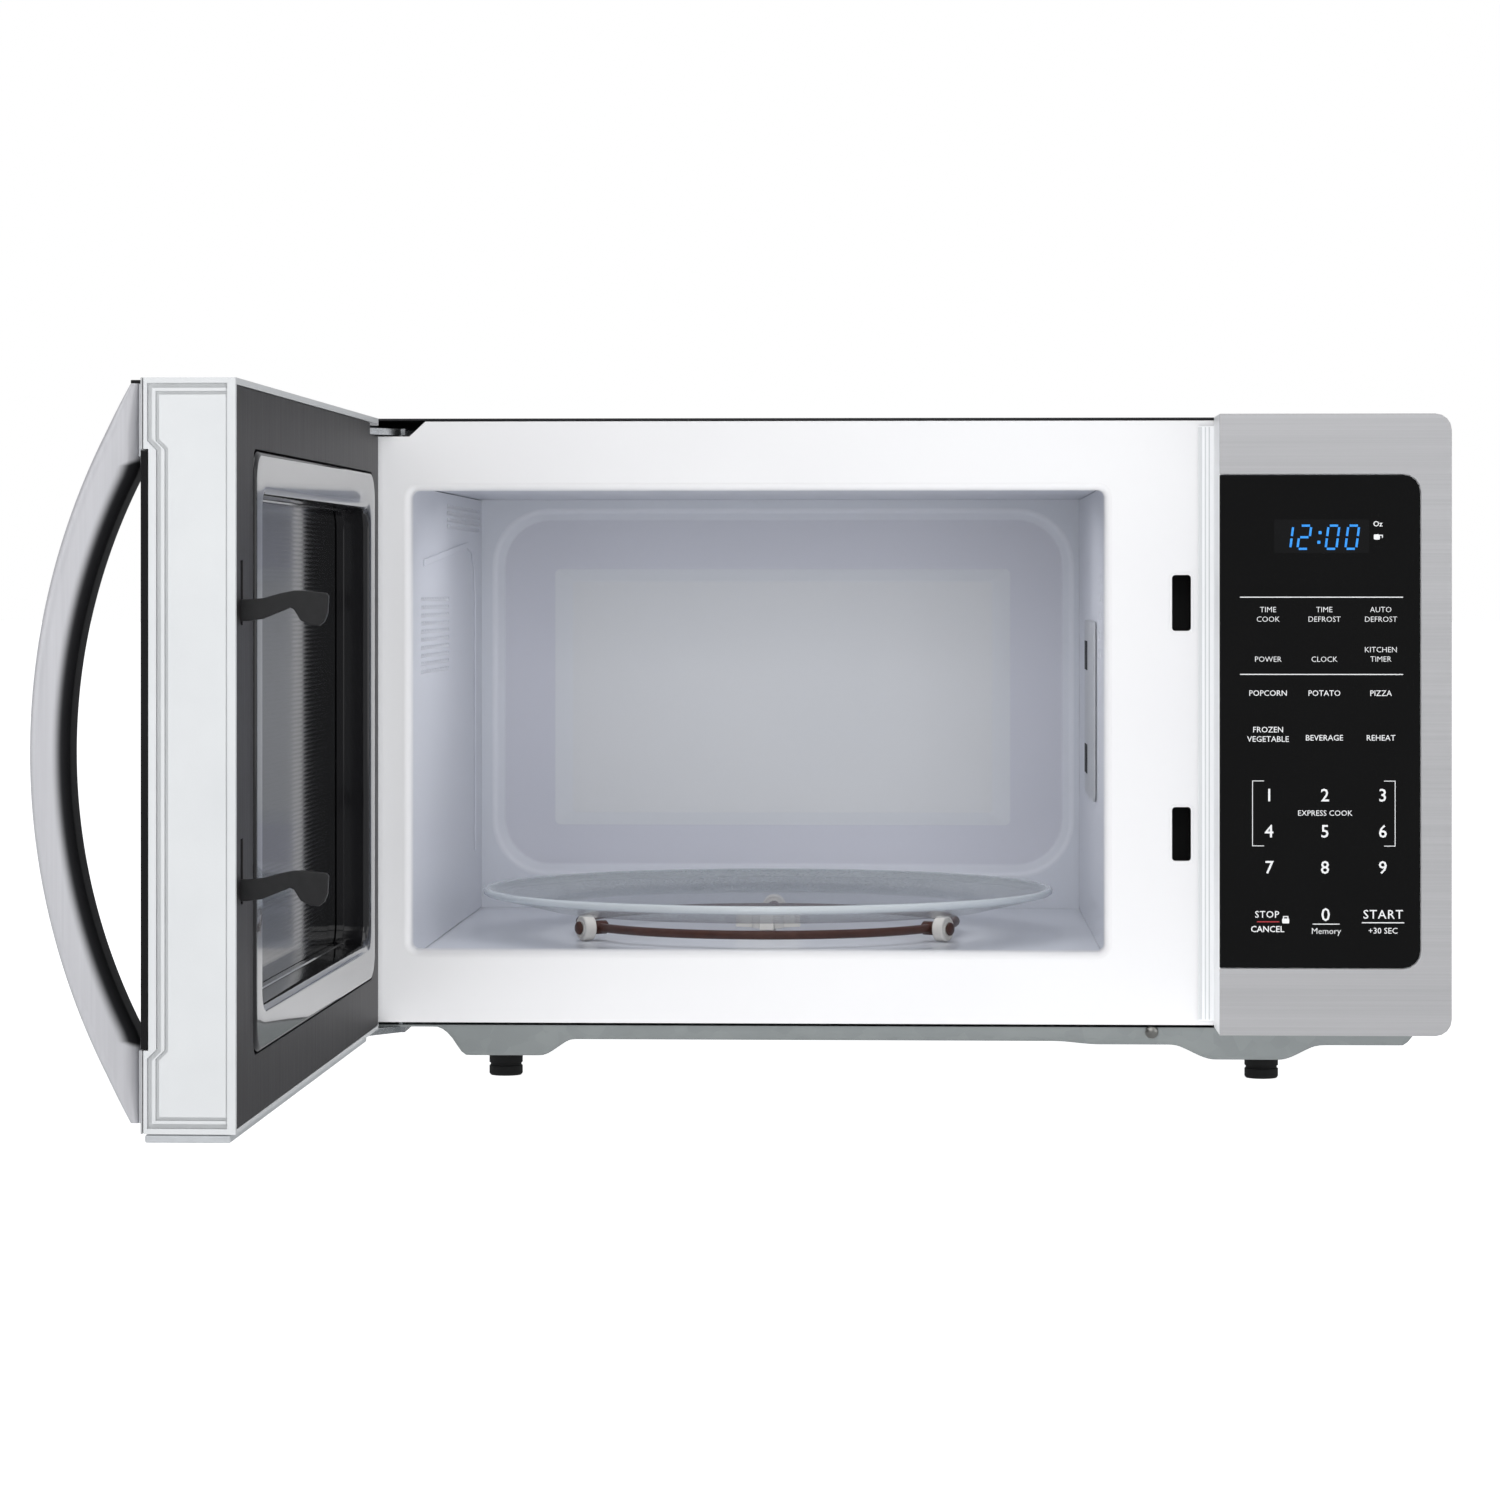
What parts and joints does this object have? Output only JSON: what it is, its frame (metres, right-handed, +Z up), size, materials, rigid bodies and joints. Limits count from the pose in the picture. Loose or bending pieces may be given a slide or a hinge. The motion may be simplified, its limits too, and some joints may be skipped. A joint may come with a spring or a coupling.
{
  "type": "microwave oven",
  "caption": "Countertop microwave oven with a side-hinged door standing open, bow handle, glass turntable on a roller ring and a touch control panel.",
  "frame": {"origin": "middle of the underside of the whole object with its door standing open, on the table", "axes": "+X to the right along the front, +Y from the front into the case, +Z up"},
  "size_m": [0.5828, 0.7962, 0.3132],
  "materials": {
    "black_paint": "satin black paint",
    "white_enamel": "gloss white enamel",
    "cavity_enamel": "gloss blue-grey enamel",
    "galvanised_steel": "galvanised",
    "painted_steel": "dark painted steel",
    "brushed_steel": "horizontally brushed",
    "zinc_steel": "zinc plated",
    "aluminium": "satin",
    "white_plastic": "satin white",
    "silver_plastic": "silver painted plastic",
    "black_plastic": "matt",
    "black_gloss": "gloss black",
    "brown_grey_plastic": "matt, lightly brushed look",
    "brown_plastic": "matt dark brown",
    "white_nylon": "off-white",
    "black_glass": "black backed glass, mirror smooth",
    "dark_film": "dark see-through film",
    "clear_glass": "clear, hammered underside",
    "black_rubber": "matt",
    "mica": "grey mica sheet",
    "circuit_board": "green circuit board",
    "display_blue": "blue display",
    "lamp_glass": "lamp bulb"
  },
  "bodies": {
    "oven": {"outer_cabinet": "black_paint", "front_plate": "white_enamel", "rear_panel": "galvanised_steel", "cord_gland": "black_plastic", "base_pan": "galvanised_steel", "foot_front_left": "black_rubber", "foot_front_right": "black_rubber", "foot_rear_left": "black_rubber", "foot_rear_right": "black_rubber", "hinge_bracket_upper": "zinc_steel", "hinge_bracket_lower": "zinc_steel", "hinge_pin_upper": "zinc_steel", "hinge_pin_lower": "zinc_steel", "cavity_left_wall": "cavity_enamel", "cavity_right_wall": "cavity_enamel", "cavity_ceiling": "cavity_enamel", "cavity_floor": "cavity_enamel", "cavity_rear_wall": "cavity_enamel", "waveguide_cover": "mica", "panel_frame": "white_plastic", "panel_fascia": "brushed_steel", "panel_glass": "black_glass", "display_module": "display_blue", "control_board": "circuit_board", "latch_board": "black_plastic", "switch_lower": "brown_plastic", "switch_middle": "brown_plastic", "switch_upper": "brown_plastic", "waveguide": "galvanised_steel", "magnetron": "painted_steel", "transformer": "painted_steel", "capacitor": "aluminium", "diode": "black_plastic", "filter_board": "circuit_board", "thermal_cutout": "black_plastic", "cavity_lamp": "lamp_glass", "turntable_motor": "galvanised_steel", "fan_motor": "painted_steel", "fan_shroud": "black_plastic"},
    "door": {"door_frame": "white_plastic", "door_choke_cover": "brown_grey_plastic", "door_window_bezel": "black_gloss", "door_window_film": "dark_film", "door_screen_panel": "painted_steel", "door_front_glass": "black_glass", "door_front_trim": "brushed_steel", "door_bottom_rail": "silver_plastic", "door_handle": "silver_plastic", "handle_screw_upper": "zinc_steel", "handle_screw_lower": "zinc_steel", "latch_spring": "zinc_steel"},
    "latch": {"latch_lever": "black_plastic"},
    "coupler": {"tray_coupler": "white_nylon"},
    "tray": {"glass_tray": "clear_glass"},
    "ring": {"roller_ring": "brown_plastic"},
    "fan": {"fan_blade": "black_plastic"},
    "roller_front_left": {"roller_front_left": "white_nylon"},
    "roller_front_right": {"roller_front_right": "white_nylon"},
    "roller_back": {"roller_back": "white_nylon"}
  },
  "joints": [
    {"name": "door_swing", "type": "hinge", "parent": "oven", "child": "door", "pos_m": [-0.21613, 0.00251, 0], "axis": [0, 0, 1], "range_deg": [-2, 90.7]},
    {"name": "latch_lift", "type": "slide", "parent": "door", "child": "latch", "axis": [0, 0, 1], "range_m": [0, 0.004], "stiffness_N_per_m": 150, "springref_m": -0.012, "deforming": ["latch_spring"]},
    {"name": "tray_spin", "type": "hinge", "parent": "oven", "child": "coupler", "pos_m": [-0.02813, 0.18911, 0.0585], "axis": [0, 0, 1], "continuous": true},
    {"name": "tray_lift", "type": "slide", "parent": "coupler", "child": "tray", "axis": [0, 0, 1], "range_m": [0, 0.15]},
    {"name": "ring_spin", "type": "hinge", "parent": "oven", "child": "ring", "pos_m": [-0.02813, 0.18911, 0.0651], "axis": [0, 0, 1], "continuous": true},
    {"name": "fan_spin", "type": "hinge", "parent": "oven", "child": "fan", "pos_m": [0.21587, 0.35711, 0.2], "axis": [0, 1, 0], "continuous": true},
    {"name": "roller_front_left_spin", "type": "hinge", "parent": "ring", "child": "roller_front_left", "pos_m": [-0.11646, 0.13811, 0.0651], "axis": [-0.866, -0.5, 0], "continuous": true},
    {"name": "roller_front_right_spin", "type": "hinge", "parent": "ring", "child": "roller_front_right", "pos_m": [0.06021, 0.13811, 0.0651], "axis": [0.866, -0.5, 0], "continuous": true},
    {"name": "roller_back_spin", "type": "hinge", "parent": "ring", "child": "roller_back", "pos_m": [-0.02813, 0.29111, 0.0651], "axis": [0, 1, 0], "continuous": true}
  ],
  "couplings": [
    {"joint": "ring_spin", "follows": "tray_spin", "ratio": 0.5},
    {"joint": "roller_front_left_spin", "follows": "tray_spin", "ratio": -8.0952},
    {"joint": "roller_front_right_spin", "follows": "tray_spin", "ratio": -8.0952},
    {"joint": "roller_back_spin", "follows": "tray_spin", "ratio": -8.0952}
  ]
}
